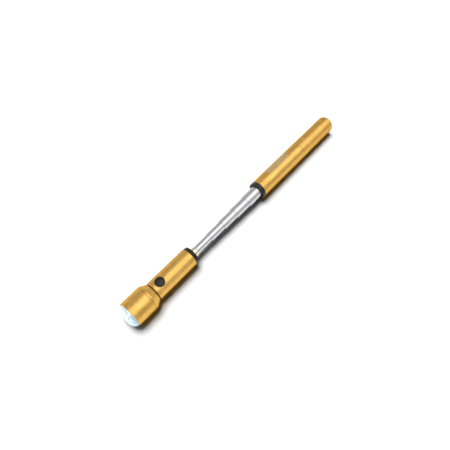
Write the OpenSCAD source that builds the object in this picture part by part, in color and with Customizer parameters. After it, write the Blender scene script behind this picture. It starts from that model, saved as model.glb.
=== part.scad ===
// Telescoping magnetic pickup tool with a light on its end.
// The tool lies along X. The origin is the centre of the tail face, +X runs towards the
// lens and +Z goes up through the button. All sizes are in millimetres.

/* [Handle] */
// Wall of the handle outside the joint's spigot
handle_wall = 1; // [0.8:0.1:1.6]
// Length of the rear half of the handle
tail_len = 45.5; // [36:0.5:60]
// Length of the front half of the handle, without the black mouth ring
front_len = 55.3; // [44:0.1:70]
// Length of the mouth ring outside the handle
mouth_ring_len = 3.2; // [1:0.1:4]
// Depth of the mouth bush inside the handle
mouth_bush_len = 5; // [4:0.5:8]
// Length of the spigot that joins the two halves
spigot_len = 9.5; // [6:0.5:12]
// Wall of that spigot
spigot_wall = 0.8; // [0.6:0.1:1]
// Width of the chamfers that meet at the handle joint
joint_chamfer = 0.45; // [0.2:0.05:0.6]
// Radius of the round at the tail's edge
tail_round = 2.2; // [1:0.1:2.4]
// Diameter of the tail magnet
tail_magnet_d = 9.9; // [6:0.1:10]
// Thickness of the tail magnet
tail_magnet_len = 3.2; // [2:0.1:4]
// Thickness of the wall ahead of the tail magnet
tail_wall = 2.6; // [1.5:0.1:4]

/* [Mast] */
// Wall of each mast tube
mast_wall = 0.3; // [0.25:0.01:0.36]
// Step in outer diameter from one section to the next
mast_step = 1; // [0.8:0.01:1.2]
// Length of each section
section_len = 88; // [70:0.5:106]
// How far each section stands out of the one behind it as stored here
exposed = 14.6; // [10:0.1:20]
// Length of the rolled lip at a section's mouth
lip_len = 1.5; // [1:0.1:2]
// Length of the flange at a section's foot
foot_flange_len = 1; // [0.8:0.1:1.5]
// Length of the bead ahead of the friction sleeve
foot_bead_len = 0.8; // [0.6:0.1:1.2]
// Length of the split friction sleeve
sleeve_len = 6.4; // [5:0.1:8]
// Width of the friction sleeve's slot
sleeve_slot = 1.2; // [0.8:0.1:2]

/* [Light barrel] */
// Wall of the barrel; with the cells it sets the diameter of barrel and handle
barrel_wall = 1.4; // [1.2:0.1:2.4]
// Gap between the spigot's front end and the head's chamber
spigot_short = 0.3; // [0.1:0.1:1]
// Wall of the threaded spigot ahead of the neck
neck_spigot_wall = 0.5; // [0.4:0.05:0.8]
// Height of the thread on that spigot, which the head's bore leaves room for
thread_h = 0.3; // [0.2:0.05:0.4]
// Diameter of the pale collar behind the barrel
collar_d = 7.5; // [6:0.1:9]
// Length of the pale collar
collar_len = 4.2; // [3:0.1:6]
// Width of the rubber ring behind the barrel
rear_ring_len = 2.5; // [1.6:0.1:3]
// Thickness of the end plug's flange
plug_flange_len = 0.5; // [0.4:0.1:1]
// Length of the end plug inside the barrel
plug_len = 4.1; // [3:0.1:6]
// Diameter of the swivel stud
stud_d = 4; // [3:0.1:4.8]

/* [Cells and switch] */
// Diameter of a button cell
cell_d = 11.6; // [9.5:0.1:14]
// Thickness of a button cell
cell_len = 5.4; // [4:0.1:6.5]
// Wall of the insulating sleeve around the cells
cell_sleeve_wall = 0.15; // [0.1:0.05:0.3]
// Number of button cells
cell_count = 3; // [3:1:3]
// Space that the conical spring takes
spring_len = 3; // [2:0.1:4]
// Diameter of the button
button_d = 6.4; // [5:0.1:7.7]
// Length of the block that holds the switch, with the button at its middle
switch_block_len = 12.4; // [10:0.1:16]
// Travel of the button
button_travel = 0.8; // [0.4:0.1:0.9]
// How far the button stands above the barrel
button_proud = 0.6; // [0.4:0.1:1.2]
// Wall of the ring around the button
button_ring_wall = 0.55; // [0.4:0.05:0.6]

/* [Head] */
// Length of the head's cone
cone_len = 4.6; // [4:0.1:8]
// Length of the head's straight bell
bell_len = 17.2; // [14:0.1:22]
// Wall of the bell
bell_wall = 0.8; // [0.6:0.1:1]
// Width of the dark ring at the neck
neck_ring_len = 0.8; // [0.5:0.1:1.5]
// Length of the lens's skirt inside the bell
lens_skirt_len = 2.6; // [1.5:0.1:3]
// Width of the rim that the lens leaves bare
rim_bare = 0.5; // [0.3:0.05:0.6]
// Height of the lens's dome
lens_dome = 4.8; // [2:0.1:6]
// Wall of the lens
lens_wall = 1.2; // [0.8:0.1:1.4]
// Diameter of the flat pickup spot on the lens
pickup_spot_d = 5.2; // [4:0.1:6]
// Diameter of the pickup magnet
magnet_d = 4.8; // [3:0.1:6]
// Diameter of an LED
led_d = 4.8; // [3:0.1:6]
// Space between each LED and the reflector's side
led_side_space = 0.5; // [0.2:0.05:1]
// Wall of the reflector
cup_wall = 0.7; // [0.5:0.05:1]
// Number of LEDs
led_count = 3; // [3:1:3]

/* [Fits] */
// Radial clearance of sliding and turning fits
fit = 0.05; // [0.02:0.01:0.08]
// Gap between faces that move past each other
gap = 0.1; // [0.05:0.01:0.15]

/* [Hidden] */
$fn = 96;
sliver = 0.01;

gold = [0.86, 0.60, 0.22];
pale_gold = [0.93, 0.84, 0.62];
chrome = [0.82, 0.83, 0.86];
brass = [0.80, 0.66, 0.30];
black = [0.08, 0.08, 0.08];
dark_grey = [0.20, 0.20, 0.21];
steel = [0.66, 0.67, 0.69];
clear = [0.85, 0.92, 1.0];
board_green = [0.10, 0.35, 0.20];

// The barrel fits its cells, and the handle has the barrel's diameter.
barrel_r = cell_d / 2 + fit + cell_sleeve_wall + gap;
body_r = barrel_r + barrel_wall;
neck_r = barrel_r + neck_spigot_wall;

// Handle, from the tail forwards.
joint_x = tail_len;
mouth_x = tail_len + front_len;
handle_end = mouth_x + mouth_ring_len;
spigot_r = body_r - handle_wall;
handle_bore_r = spigot_r - spigot_wall;
mast_r1 = handle_bore_r - mast_step / 2;
bush_back = mouth_x - mouth_bush_len;
seal_wire = 0.4;
seal_inset = 3;
bore_floor = tail_magnet_len + tail_wall;

// Mast sections, numbered from the handle.
function mast_r(i) = mast_r1 - (i - 1) * mast_step / 2;
function mast_bore(i) = mast_r(i) - mast_wall;
function foot_r(i) = (i == 1 ? handle_bore_r : mast_bore(i - 1)) - fit;
function mast_front(i) = handle_end + i * exposed;
function mast_rear(i) = mast_front(i) - section_len;
last = 5;
edge_round = 0.12;
bead_start = foot_flange_len + sleeve_len;
foot_len = bead_start + foot_bead_len;

// Swivel and light barrel.
mast_tip = mast_front(last);
collar_back = mast_tip + gap;
plug_back = collar_back + collar_len;
ring_back = plug_back + plug_flange_len;
barrel_back = ring_back + rear_ring_len;
plug_front = barrel_back + plug_len;
stud_r = stud_d / 2;
stud_root_len = 8;
stud_tip_len = 0.6;
clip_len = 0.6;
clip_reach = 1;
clip_groove = 0.4;
clip_pinch = 0.6;
clip_r = stud_r + clip_reach;
clip_groove_r = stud_r - clip_groove;
clip_slot = 2 * clip_groove_r - clip_pinch;
plug_floor_len = 2.4;
plug_pocket_space = 0.4;
plug_floor = plug_back + plug_floor_len;
plug_pocket_r = clip_r + plug_pocket_space;
clip_back = plug_floor + gap;
stud_front = clip_back + clip_len + stud_tip_len;
plug_flange_inset = 0.6;
plug_flange_r = body_r - plug_flange_inset;
ring_inset = 0.15;
ring_r = body_r - ring_inset;

// Cells and switch.
plate_len = 0.4;
plate_inset = 0.3;
plate_r = cell_d / 2 - plate_inset;
cell_cap_len = 0.3;
cell_cap_inset = 1;
cell_edge = 0.3;
spring_back = plug_front + plate_len;
cells_back = spring_back + spring_len;
cells_front = cells_back + cell_count * cell_len;
spring_wire_r = 0.25;
spring_turns = 2;
spring_r_back = 4.2;
spring_r_front = 2.2;
spring_sides = 8;
spring_steps = 24;
contact_len = 0.3;
contact_r = 3;
housing_back = cells_front + contact_len;
housing_front = housing_back + switch_block_len;
neck_x = housing_front + contact_len;
housing_r = barrel_r - gap;
button_x = (housing_back + housing_front) / 2;
button_r = button_d / 2;
button_ring_r = button_r + gap + button_ring_wall;
button_hole_r = button_ring_r + fit;
flange_r = button_ring_r - gap;
flange_len = 0.6;
flange_space = 0.25;
flange_top = sqrt(pow(barrel_r, 2) - pow(flange_r, 2)) - flange_space;
button_ring_sunk = 0.3;
button_edge_sunk = 0.2;
button_ring_bottom = flange_top + gap;
button_ring_top = body_r - button_ring_sunk;
button_edge = body_r - button_edge_sunk;
button_top = body_r + button_proud;
switch_side = 5.2;
switch_h = 3.2;
switch_tip_h = 0.4;
plunger_r = 1.2;
plunger_len = 1.4;
plunger_bottom = flange_top - flange_len - plunger_len;
switch_tip = plunger_bottom - button_travel - gap;
switch_top = switch_tip - switch_tip_h;

// Head and lamp.
led_r = led_d / 2;
led_flange_width = 0.25;
led_flange_r = led_r + led_flange_width;
magnet_r = magnet_d / 2;
magnet_wall = 0.3;
magnet_bare = 0.5;
cup_hole_r = magnet_r + magnet_wall + fit;
led_ring_r = cup_hole_r + gap + led_flange_r;
part_r = led_ring_r + led_r + led_side_space + cup_wall;
chamber_r = part_r + gap;
head_r = chamber_r + bell_wall;
neck_ring_inset = 0.35;
neck_ring_r = body_r - neck_ring_inset;
shell_back = neck_x + neck_ring_len;
cone_front = shell_back + cone_len;
rim_x = cone_front + bell_len;
chamber_back = cone_front + gap;
shell_bore_r = neck_r + thread_h + fit;
spigot_front = chamber_back - spigot_short;
trim_edge = 0.3;
groove_from_cone = 1;
ring_groove = 0.35;
lens_r = head_r - rim_bare;
lens_back = rim_x - lens_skirt_len;
lens_tip = rim_x + lens_dome;
spot_r = pickup_spot_d / 2;
lens_hollow_r = part_r - lens_wall;
gasket_len = 0.8;
cup_front = lens_back - gasket_len;
cup_depth = 6.4;
cup_mouth_r = part_r - cup_wall;
base_len = 1.2;
base_front = cup_front - cup_depth;
base_back = base_front - base_len;
board_len = 1;
led_flange_len = 0.6;
board_front = base_back - led_flange_len;
board_back = board_front - board_len;
led_body_len = 4.8;
carrier_back = spigot_front + gap;
carrier_r = neck_r - gap;
pin_r = 1.2;
pin_head_r = 2;
pin_head_len = 1;
magnet_front = lens_tip - lens_wall - gap;

// A solid of revolution about X from points written as [place along X, radius].
module turned(points)
    rotate([0, 90, 0]) rotate_extrude() polygon([for (p = points) [p[1], p[0]]]);

// A plain tube along X.
module tube(x0, x1, outer_r, inner_r)
    translate([x0, 0, 0]) rotate([0, 90, 0]) difference() {
        cylinder(r = outer_r, h = x1 - x0);
        translate([0, 0, -1]) cylinder(r = inner_r, h = x1 - x0 + 2);
    }

// A plain disc or rod along X.
module rod(x0, x1, r)
    translate([x0, 0, 0]) rotate([0, 90, 0]) cylinder(r = r, h = x1 - x0);

// An upright cylinder at the button's place.
module upright(z0, z1, r)
    translate([button_x, 0, z0]) cylinder(r = r, h = z1 - z0);

// Points of an arc about [x, r], from angle a0 to a1 in n steps.
function arc(x, r, radius, a0, a1, n) =
    [for (k = [0:n]) let (a = a0 + (a1 - a0) * k / n) [x + radius * cos(a), r + radius * sin(a)]];

// Rear half of the handle, closed at the tail.
module tail_sleeve() {
    magnet_r0 = tail_magnet_d / 2;
    spigot_back = joint_x - spigot_len;
    color(gold) turned(concat(
        [[0, magnet_r0]],
        arc(tail_round, body_r - tail_round, tail_round, 180, 90, 12),
        [[joint_x - joint_chamfer, body_r], [joint_x, body_r - joint_chamfer], [joint_x, spigot_r],
         [spigot_back, spigot_r], [spigot_back, handle_bore_r], [bore_floor, handle_bore_r],
         [bore_floor, 0], [tail_magnet_len, 0], [tail_magnet_len, magnet_r0]]));
}

// Front half of the handle, with the spigot that goes into the rear half.
module handle_tube() {
    groove_x = joint_x - seal_inset;
    color(gold) turned([
        [joint_x - spigot_len, handle_bore_r], [joint_x - spigot_len, spigot_r],
        [groove_x - seal_wire, spigot_r], [groove_x - seal_wire, spigot_r - seal_wire],
        [groove_x + seal_wire, spigot_r - seal_wire], [groove_x + seal_wire, spigot_r],
        [joint_x, spigot_r], [joint_x, body_r - joint_chamfer], [joint_x + joint_chamfer, body_r],
        [mouth_x, body_r], [mouth_x, handle_bore_r]]);
}

// Black bush that closes the handle's mouth and guides the first section.
module mouth_bush() {
    bush_bore = mast_r1 + fit;
    edge = 0.4;
    color(black) turned([
        [bush_back, bush_bore], [bush_back, handle_bore_r], [mouth_x, handle_bore_r],
        [mouth_x, body_r], [handle_end - edge, body_r], [handle_end, body_r - edge],
        [handle_end, bush_bore]]);
}

// Seal in the spigot's groove.
module handle_joint_seal()
    color(black) tube(joint_x - seal_inset - seal_wire, joint_x - seal_inset + seal_wire,
                      spigot_r, spigot_r - seal_wire);

// Magnet set flush in the tail face.
module tail_magnet()
    color(steel) rod(0, tail_magnet_len, tail_magnet_d / 2);

// One mast section, with its foot and its rolled lip.
module mast_tube(i) {
    x0 = mast_rear(i);
    x1 = mast_front(i);
    r = mast_r(i);
    bore = mast_bore(i);
    f = foot_r(i);
    lip = i < last ? mast_r(i + 1) + fit : bore;
    color(chrome) turned(concat(
        [[x0, bore], [x0, f], [x0 + foot_flange_len, f], [x0 + foot_flange_len, r],
         [x0 + bead_start, r], [x0 + bead_start, f], [x0 + foot_len, f], [x0 + foot_len, r]],
        arc(x1 - edge_round, r - edge_round, edge_round, 90, 0, 4),
        i < last ? [[x1, lip], [x1 - lip_len, lip], [x1 - lip_len, bore]] : [[x1, bore]]));
}

// Split sleeve that presses on the bore of the section behind.
module friction_sleeve(i) {
    x0 = mast_rear(i) + foot_flange_len;
    color(brass) difference() {
        tube(x0, x0 + sleeve_len, foot_r(i), mast_r(i));
        translate([x0 - 1, -sleeve_slot / 2, 0]) cube([sleeve_len + 2, sleeve_slot, body_r]);
    }
}

// Stud pressed into the last section; the light turns on it.
module swivel_stud()
    color(steel) turned([
        [mast_tip - stud_root_len, 0], [mast_tip - stud_root_len, mast_bore(last)],
        [mast_tip, mast_bore(last)], [mast_tip, stud_r], [clip_back, stud_r],
        [clip_back, clip_groove_r], [clip_back + clip_len, clip_groove_r],
        [clip_back + clip_len, stud_r], [stud_front, stud_r], [stud_front, 0]]);

// Clip in the stud's groove, open on one side.
module swivel_clip()
    color(steel) difference() {
        tube(clip_back, clip_back + clip_len, clip_r, clip_groove_r);
        translate([clip_back - 1, -clip_slot / 2, -body_r]) cube([clip_len + 2, clip_slot, body_r]);
    }

// Pale collar between the mast and the barrel.
module neck_collar() {
    edge = 0.5;
    collar_r = collar_d / 2;
    color(pale_gold) turned([
        [collar_back, stud_r + fit], [collar_back, collar_r - edge], [collar_back + edge, collar_r],
        [plug_back, collar_r], [plug_back, stud_r + fit]]);
}

// Plug that closes the barrel's rear end and holds the swivel.
module barrel_plug()
    color(black) turned([
        [plug_back, stud_r + fit], [plug_back, plug_flange_r], [ring_back, plug_flange_r],
        [ring_back, barrel_r], [plug_front, barrel_r], [plug_front, plug_pocket_r],
        [plug_floor, plug_pocket_r], [plug_floor, stud_r + fit]]);

// Rubber ring between the plug's flange and the barrel.
module rear_ring() {
    edge = rear_ring_len / 3;
    color(black) turned([
        [ring_back, barrel_r], [ring_back, ring_r - edge], [ring_back + edge, ring_r],
        [barrel_back - edge, ring_r], [barrel_back, ring_r - edge], [barrel_back, barrel_r]]);
}

// Gold barrel with the button's hole and the threaded spigot for the head.
module barrel() {
    color(gold) difference() {
        turned([
            [barrel_back, barrel_r], [barrel_back, body_r - trim_edge],
            [barrel_back + trim_edge, body_r], [neck_x - trim_edge, body_r],
            [neck_x, body_r - trim_edge], [neck_x, neck_r],
            [spigot_front, neck_r], [spigot_front, barrel_r]]);
        upright(0, head_r, button_hole_r);
    }
}

// Plate that the battery spring stands on.
module negative_plate()
    color(brass) rod(plug_front, spring_back, plate_r);

// Conical spring behind the cells.
module battery_spring() {
    rings = spring_turns * spring_steps;
    run = spring_len - 2 * spring_wire_r - 2 * sliver;
    points = [for (k = [0:rings], s = [0:spring_sides - 1])
        let (t = k / rings, a = 360 * spring_turns * t, b = 360 * s / spring_sides,
             r = spring_r_back + (spring_r_front - spring_r_back) * t + spring_wire_r * cos(b),
             x = spring_back + sliver + spring_wire_r * (1 + sin(b)) + run * t)
        [x, r * cos(a), r * sin(a)]];
    sides = [for (k = [0:rings - 1], s = [0:spring_sides - 1])
        let (n = (s + 1) % spring_sides)
        [k * spring_sides + s, k * spring_sides + n,
         (k + 1) * spring_sides + n, (k + 1) * spring_sides + s]];
    start = [[for (s = [spring_sides - 1:-1:0]) s]];
    end = [[for (s = [0:spring_sides - 1]) rings * spring_sides + s]];
    color(steel) polyhedron(points = points, faces = concat(sides, start, end), convexity = 8);
}

// One button cell, with its narrower negative cap at the back.
module battery(k) {
    x0 = cells_back + (k - 1) * cell_len;
    x1 = x0 + cell_len;
    r = cell_d / 2;
    cap_r = r - cell_cap_inset;
    color(steel) turned([
        [x0, 0], [x0, cap_r], [x0 + cell_cap_len, cap_r], [x0 + cell_cap_len, r],
        [x1 - cell_edge, r], [x1, r - cell_edge], [x1, 0]]);
}

// Insulating sleeve around the cells.
module battery_sleeve()
    color(dark_grey) tube(cells_back, cells_front, barrel_r - gap, cell_d / 2 + fit);

// Plate ahead of the cells.
module positive_plate()
    color(brass) rod(cells_front, housing_back, plate_r);

// Moulded block that holds the switch under the button.
module switch_housing()
    color(dark_grey) difference() {
        rod(housing_back, housing_front, housing_r);
        upright(switch_top, body_r, button_hole_r);
        translate([button_x, 0, switch_top - switch_h / 2])
            cube([switch_side, switch_side, switch_h + sliver], center = true);
    }

// Switch in the housing's pocket.
module push_switch()
    color(black) union() {
        translate([button_x, 0, switch_top - switch_h / 2])
            cube([switch_side, switch_side, switch_h], center = true);
        upright(switch_top - sliver, switch_tip, plunger_r);
    }

// Contact on the front of the switch's block.
module switch_contact()
    color(brass) rod(housing_front, neck_x, contact_r);

// Ring pressed into the barrel around the button.
module button_ring()
    color(black) difference() {
        upright(button_ring_bottom, button_ring_top, button_ring_r);
        upright(0, head_r, button_r + gap);
    }

// Seal in the gap between the barrel and the head.
module neck_oring()
    color(black) tube(neck_x, shell_back - gap, neck_ring_r, neck_r);

// Rubber button, domed on top, with a flange that the ring keeps in.
module button_cap() {
    flange_bottom = flange_top - flange_len;
    rise = button_top - button_edge;
    dome_r = (pow(button_r, 2) + pow(rise, 2)) / (2 * rise);
    dome_angle = asin(button_r / dome_r);
    color(black) translate([button_x, 0, 0]) rotate_extrude() polygon(concat(
        [[0, flange_bottom], [flange_r, flange_bottom], [flange_r, flange_top],
         [button_r, flange_top]],
        [for (k = [0:12]) let (a = 90 - dome_angle * (1 - k / 12))
            [dome_r * cos(a), button_top - dome_r + dome_r * sin(a)]]));
}

// Stem that carries the button's push to the switch.
module button_plunger()
    color(dark_grey) upright(plunger_bottom, flange_top - flange_len, plunger_r);

// Gold head, screwed onto the barrel's spigot.
module head_shell() {
    groove_x = cone_front + groove_from_cone;
    color(gold) turned([
        [shell_back, shell_bore_r], [shell_back, body_r - trim_edge],
        [shell_back + trim_edge, body_r], [cone_front, head_r], [groove_x, head_r],
        [groove_x + ring_groove, head_r - ring_groove], [groove_x + 2 * ring_groove, head_r],
        [rim_x - trim_edge, head_r], [rim_x, head_r - trim_edge], [rim_x, chamber_r],
        [chamber_back, chamber_r], [chamber_back, shell_bore_r]]);
}

// Clear lens: a skirt inside the bell and a hollow dome with a flat spot at its crest.
module lens() {
    steps = 16;
    inner_dome = lens_dome - lens_wall;
    color(clear) turned(concat(
        [[lens_back, lens_hollow_r], [lens_back, part_r], [rim_x, part_r]],
        [for (k = [0:steps]) let (a = 90 * k / steps)
            [rim_x + lens_dome * sin(a), spot_r + (lens_r - spot_r) * cos(a)]],
        [[lens_tip, 0], [rim_x + inner_dome, 0]],
        [for (k = [steps:-1:0]) let (a = 90 * k / steps)
            [rim_x + inner_dome * sin(a), spot_r + (lens_hollow_r - spot_r) * cos(a)]]));
}

// Seal behind the lens.
module lens_gasket()
    color(black) tube(cup_front, lens_back, part_r, cup_mouth_r);

// Bright cup with holes for the LEDs and the magnet.
module reflector() {
    color(chrome) difference() {
        turned([[base_back, 0], [base_back, part_r], [cup_front, part_r], [cup_front, cup_mouth_r],
                [base_front, led_ring_r + led_r + gap], [base_front, 0]]);
        rod(base_back - 1, base_front + 1, cup_hole_r);
        for (k = [1:led_count]) at_led(k) rod(base_back - 1, base_front + 1, led_r + fit);
    }
}

// Moves its children to LED number k.
module at_led(k)
    rotate([90 + 360 * (k - 1) / led_count, 0, 0]) translate([0, led_ring_r, 0]) children();

// One LED, with its flange on the board and its dome at the front.
module led(k) {
    x1 = board_front + led_body_len;
    color(clear) at_led(k) turned(concat(
        [[board_front, 0], [board_front, led_flange_r], [base_back, led_flange_r],
         [base_back, led_r], [x1, led_r]],
        [for (s = [1:8]) [x1 + led_r * sin(90 * s / 8), led_r * cos(90 * s / 8)]]));
}

// Circuit board behind the LEDs.
module led_board()
    color(board_green) rod(board_back, board_front, part_r);

// Insulating block that centres the board on the barrel.
module board_carrier()
    color(dark_grey) tube(carrier_back, board_back, carrier_r, pin_r + fit);

// Pin that follows the head and carries the current from the switch to the board.
module contact_pin() {
    x0 = neck_x + gap;
    x1 = x0 + pin_head_len;
    color(brass) turned([[x0, 0], [x0, pin_head_r], [x1, pin_head_r], [x1, pin_r],
                         [board_back - gap, pin_r], [board_back - gap, 0]]);
}

// Pickup magnet behind the lens's flat spot.
module pickup_magnet()
    color(steel) rod(base_back, magnet_front, magnet_r);

// Steel cup around the pickup magnet.
module magnet_cup()
    color(chrome) tube(base_back, magnet_front - magnet_bare, magnet_r + magnet_wall, magnet_r);

tail_sleeve();
handle_tube();
mouth_bush();
handle_joint_seal();
tail_magnet();
mast_tube(1);  // mast_tube_1
mast_tube(2);  // mast_tube_2
mast_tube(3);  // mast_tube_3
mast_tube(4);  // mast_tube_4
mast_tube(5);  // mast_tube_5
friction_sleeve(1);  // friction_sleeve_1
friction_sleeve(2);  // friction_sleeve_2
friction_sleeve(3);  // friction_sleeve_3
friction_sleeve(4);  // friction_sleeve_4
friction_sleeve(5);  // friction_sleeve_5
swivel_stud();
swivel_clip();
neck_collar();
barrel_plug();
rear_ring();
barrel();
negative_plate();
battery_spring();
battery(1);  // battery_1
battery(2);  // battery_2
battery(3);  // battery_3
battery_sleeve();
positive_plate();
switch_housing();
push_switch();
switch_contact();
button_ring();
neck_oring();
button_cap();
button_plunger();
head_shell();
lens();
lens_gasket();
reflector();
led(1);  // led_1
led(2);  // led_2
led(3);  // led_3
led_board();
board_carrier();
contact_pin();
pickup_magnet();
magnet_cup();
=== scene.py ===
import math

import bmesh
import bpy
from mathutils import Matrix, Vector


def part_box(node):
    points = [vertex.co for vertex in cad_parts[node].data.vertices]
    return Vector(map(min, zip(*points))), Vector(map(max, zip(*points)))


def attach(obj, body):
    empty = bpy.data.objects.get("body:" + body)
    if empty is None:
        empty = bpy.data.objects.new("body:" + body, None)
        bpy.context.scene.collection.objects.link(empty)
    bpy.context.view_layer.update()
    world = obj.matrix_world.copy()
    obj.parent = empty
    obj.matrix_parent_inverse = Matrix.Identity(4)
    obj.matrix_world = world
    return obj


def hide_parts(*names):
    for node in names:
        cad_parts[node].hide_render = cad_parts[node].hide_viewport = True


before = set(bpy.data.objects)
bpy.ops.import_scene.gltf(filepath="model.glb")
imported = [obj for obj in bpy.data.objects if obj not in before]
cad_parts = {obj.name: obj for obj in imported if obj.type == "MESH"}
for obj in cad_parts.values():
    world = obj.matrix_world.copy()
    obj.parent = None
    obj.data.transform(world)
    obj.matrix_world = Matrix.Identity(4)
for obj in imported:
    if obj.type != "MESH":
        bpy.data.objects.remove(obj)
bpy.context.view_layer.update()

# Looks for a telescoping pickup tool with a light on its end. Lengths are in millimetres until
# a mesh is finished. X runs along the tool from the tail to the lens, and Z goes up through the button.
MM = 0.001
ROUND = 144            # faces round a turned piece
CREASE = math.radians(40)   # faces that meet more sharply than this keep a hard edge
FIT = 0.05             # running clearance of the sliding and turning fits
PRESS = 0.01           # how far a piece stands off the one it is pressed on, so that the faces don't mix
MAST_WALL = 0.3
HANDLE_BORE = 5.7
HANDLE_SPIGOT = 6.5
BARREL_BORE = 6.1
BARREL_SPIGOT = 6.6
STUD = 2.0
JOINT_CHAMFER = 0.45
TRIM_EDGE = 0.3        # width of the small chamfers on the barrel and the head
BUTTON_HOLE = 3.9
HEAD_BORE = 6.95
CHAMBER = 9.2
CUP_MOUTH = 8.4
LED = 2.4


def span(node):
    """Start along X, end along X and largest radius of a CAD node."""
    low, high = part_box(node)
    return low[0] / MM, high[0] / MM, (high[1] - low[1]) / 2 / MM


def levels(node):
    """Lowest and highest Z of a CAD node."""
    low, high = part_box(node)
    return low[2] / MM, high[2] / MM


# ------------------------------------------------------------------ meshes

def eased(outline, ease, steps=3):
    """[place, radius, wear] round a closed outline with rounded corners; wear is 1 on outer ones."""
    share, straight, shoulder = 0.4, -0.97, 1.3
    points = [Vector(p) for p in outline]
    count = len(points)
    area = sum(a.x * b.y - b.x * a.y for a, b in zip(points, points[1:] + points[:1]))
    out = []
    for i, corner in enumerate(points):
        back = points[i - 1] - corner
        ahead = points[(i + 1) % count] - corner
        reach = min(ease, back.length * share, ahead.length * share)
        back.normalize()
        ahead.normalize()
        if corner.y <= 0 or back.dot(ahead) < straight:
            out.append((corner.x, corner.y, 0.0))
            continue
        outer = (ahead.x * back.y - ahead.y * back.x) * area > 0
        out.append((*(corner + back * reach * shoulder), 0.0))
        for k in range(steps + 1):
            t = k / steps
            bend = back * (1 - t) ** 2 + ahead * t ** 2
            out.append((*(corner + bend * reach), float(outer)))
        out.append((*(corner + ahead * reach * shoulder), 0.0))
    return out


def arc(x, r, radius, start, end, steps=12):
    """Points of an arc about [x, r], with angles in degrees."""
    turns = [math.radians(start + (end - start) * k / steps) for k in range(steps + 1)]
    return [(x + radius * math.cos(a), r + radius * math.sin(a)) for a in turns]


def dress(bm, merge):
    """Merges doubles, turns the faces outwards and creases the edges where faces meet sharply."""
    bmesh.ops.remove_doubles(bm, verts=bm.verts, dist=merge)
    bmesh.ops.recalc_face_normals(bm, faces=bm.faces)
    for face in bm.faces:
        face.smooth = True
    for edge in bm.edges:
        edge.smooth = edge.is_manifold and edge.calc_face_angle(math.pi) < CREASE


def finish_mesh(name, bm, material):
    """Makes an object of a closed bmesh that is in millimetres."""
    dress(bm, 1e-4)
    bmesh.ops.scale(bm, vec=(MM, MM, MM), verts=bm.verts)
    mesh = bpy.data.meshes.new(name)
    bm.to_mesh(mesh)
    bm.free()
    mesh.materials.append(material)
    piece = bpy.data.objects.new(name, mesh)
    bpy.context.scene.collection.objects.link(piece)
    return piece


def spun(outline, upright_at=None, faces=ROUND):
    """A bmesh of a closed outline spun about X, or about an upright axis at X = upright_at."""
    bm = bmesh.new()
    wear = bm.verts.layers.float.new("edge")
    rings = []
    for step, radius, worn in outline:
        ring = []
        for k in range(faces if radius > 1e-6 else 1):
            across = radius * math.cos(math.tau * k / faces)
            up = radius * math.sin(math.tau * k / faces)
            spot = (step, across, up) if upright_at is None else (upright_at + across, up, step)
            ring.append(bm.verts.new(spot))
            ring[-1][wear] = worn
        rings.append(ring)
    for a, b in zip(rings, rings[1:] + rings[:1]):
        if len(a) == 1 and len(b) == 1:
            continue
        for k in range(faces):
            n = (k + 1) % faces
            corners = (a[k % len(a)], a[n % len(a)], b[n % len(b)], b[k % len(b)])
            bm.faces.new(dict.fromkeys(corners))
    return bm


def turned(name, outline, material, ease=0.12, **how):
    """A turned piece from a closed outline of [place, radius]."""
    return finish_mesh(name, spun(eased(outline, ease), **how), material)


def cut_away(piece, cutter):
    """Cuts one mesh out of another and drops the cutter."""
    cut = piece.modifiers.new("cut", "BOOLEAN")
    cut.operation, cut.solver, cut.object = "DIFFERENCE", "EXACT", cutter
    mesh = bpy.data.meshes.new_from_object(piece.evaluated_get(bpy.context.evaluated_depsgraph_get()))
    piece.modifiers.clear()
    piece.data = mesh
    bpy.data.objects.remove(cutter)


def fitted(piece, body, slot, *nodes):
    """Hangs a piece on its body and hides the CAD nodes that it stands for. The slot is not used."""
    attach(piece, body)
    if nodes:
        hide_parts(*nodes)
    return piece


# ------------------------------------------------------------------ node helpers

def put(tree, kind, inputs=None, **settings):
    """Adds a node; inputs maps a socket's name or number to a value or to another node's output."""
    node = tree.nodes.new(kind)
    for key, value in settings.items():
        setattr(node, key, value)
    for key, value in (inputs or {}).items():
        if isinstance(value, bpy.types.NodeSocket):
            tree.links.new(value, node.inputs[key])
        else:
            node.inputs[key].default_value = value
    return node


def calc(tree, operation, a, b=0.0, c=0.0, clamp=False):
    """The output of a Math node."""
    node = put(tree, "ShaderNodeMath", {0: a, 1: b, 2: c}, operation=operation, use_clamp=clamp)
    return node.outputs[0]


def ramp(tree, value, low, high, to_low=0.0, to_high=1.0):
    """value brought from low..high to to_low..to_high, smoothly and clamped."""
    inputs = {"Value": value, "From Min": low, "From Max": high, "To Min": to_low, "To Max": to_high}
    return put(tree, "ShaderNodeMapRange", inputs, interpolation_type="SMOOTHSTEP").outputs["Result"]


def mixed(tree, factor, a, b):
    """The colour between a and b."""
    node = put(tree, "ShaderNodeMix", data_type="RGBA")
    for socket, value in zip((node.inputs[0], node.inputs[6], node.inputs[7]), (factor, a, b)):
        if isinstance(value, bpy.types.NodeSocket):
            tree.links.new(value, socket)
        else:
            socket.default_value = value
    return node.outputs[2]


def place(tree, scale=(1, 1, 1), turn=(0, 0, 0)):
    """Object coordinates, turned and then scaled."""
    spot = put(tree, "ShaderNodeTexCoord").outputs["Object"]
    inputs = {"Vector": spot, "Rotation": turn, "Scale": scale}
    return put(tree, "ShaderNodeMapping", inputs, vector_type="POINT").outputs[0]


def noise(tree, vector, scale, detail=3.0, rough=0.55):
    """A noise value; scale is in waves per metre."""
    inputs = {"Vector": vector, "Scale": scale, "Detail": detail, "Roughness": rough}
    return put(tree, "ShaderNodeTexNoise", inputs).outputs["Fac"]


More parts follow.
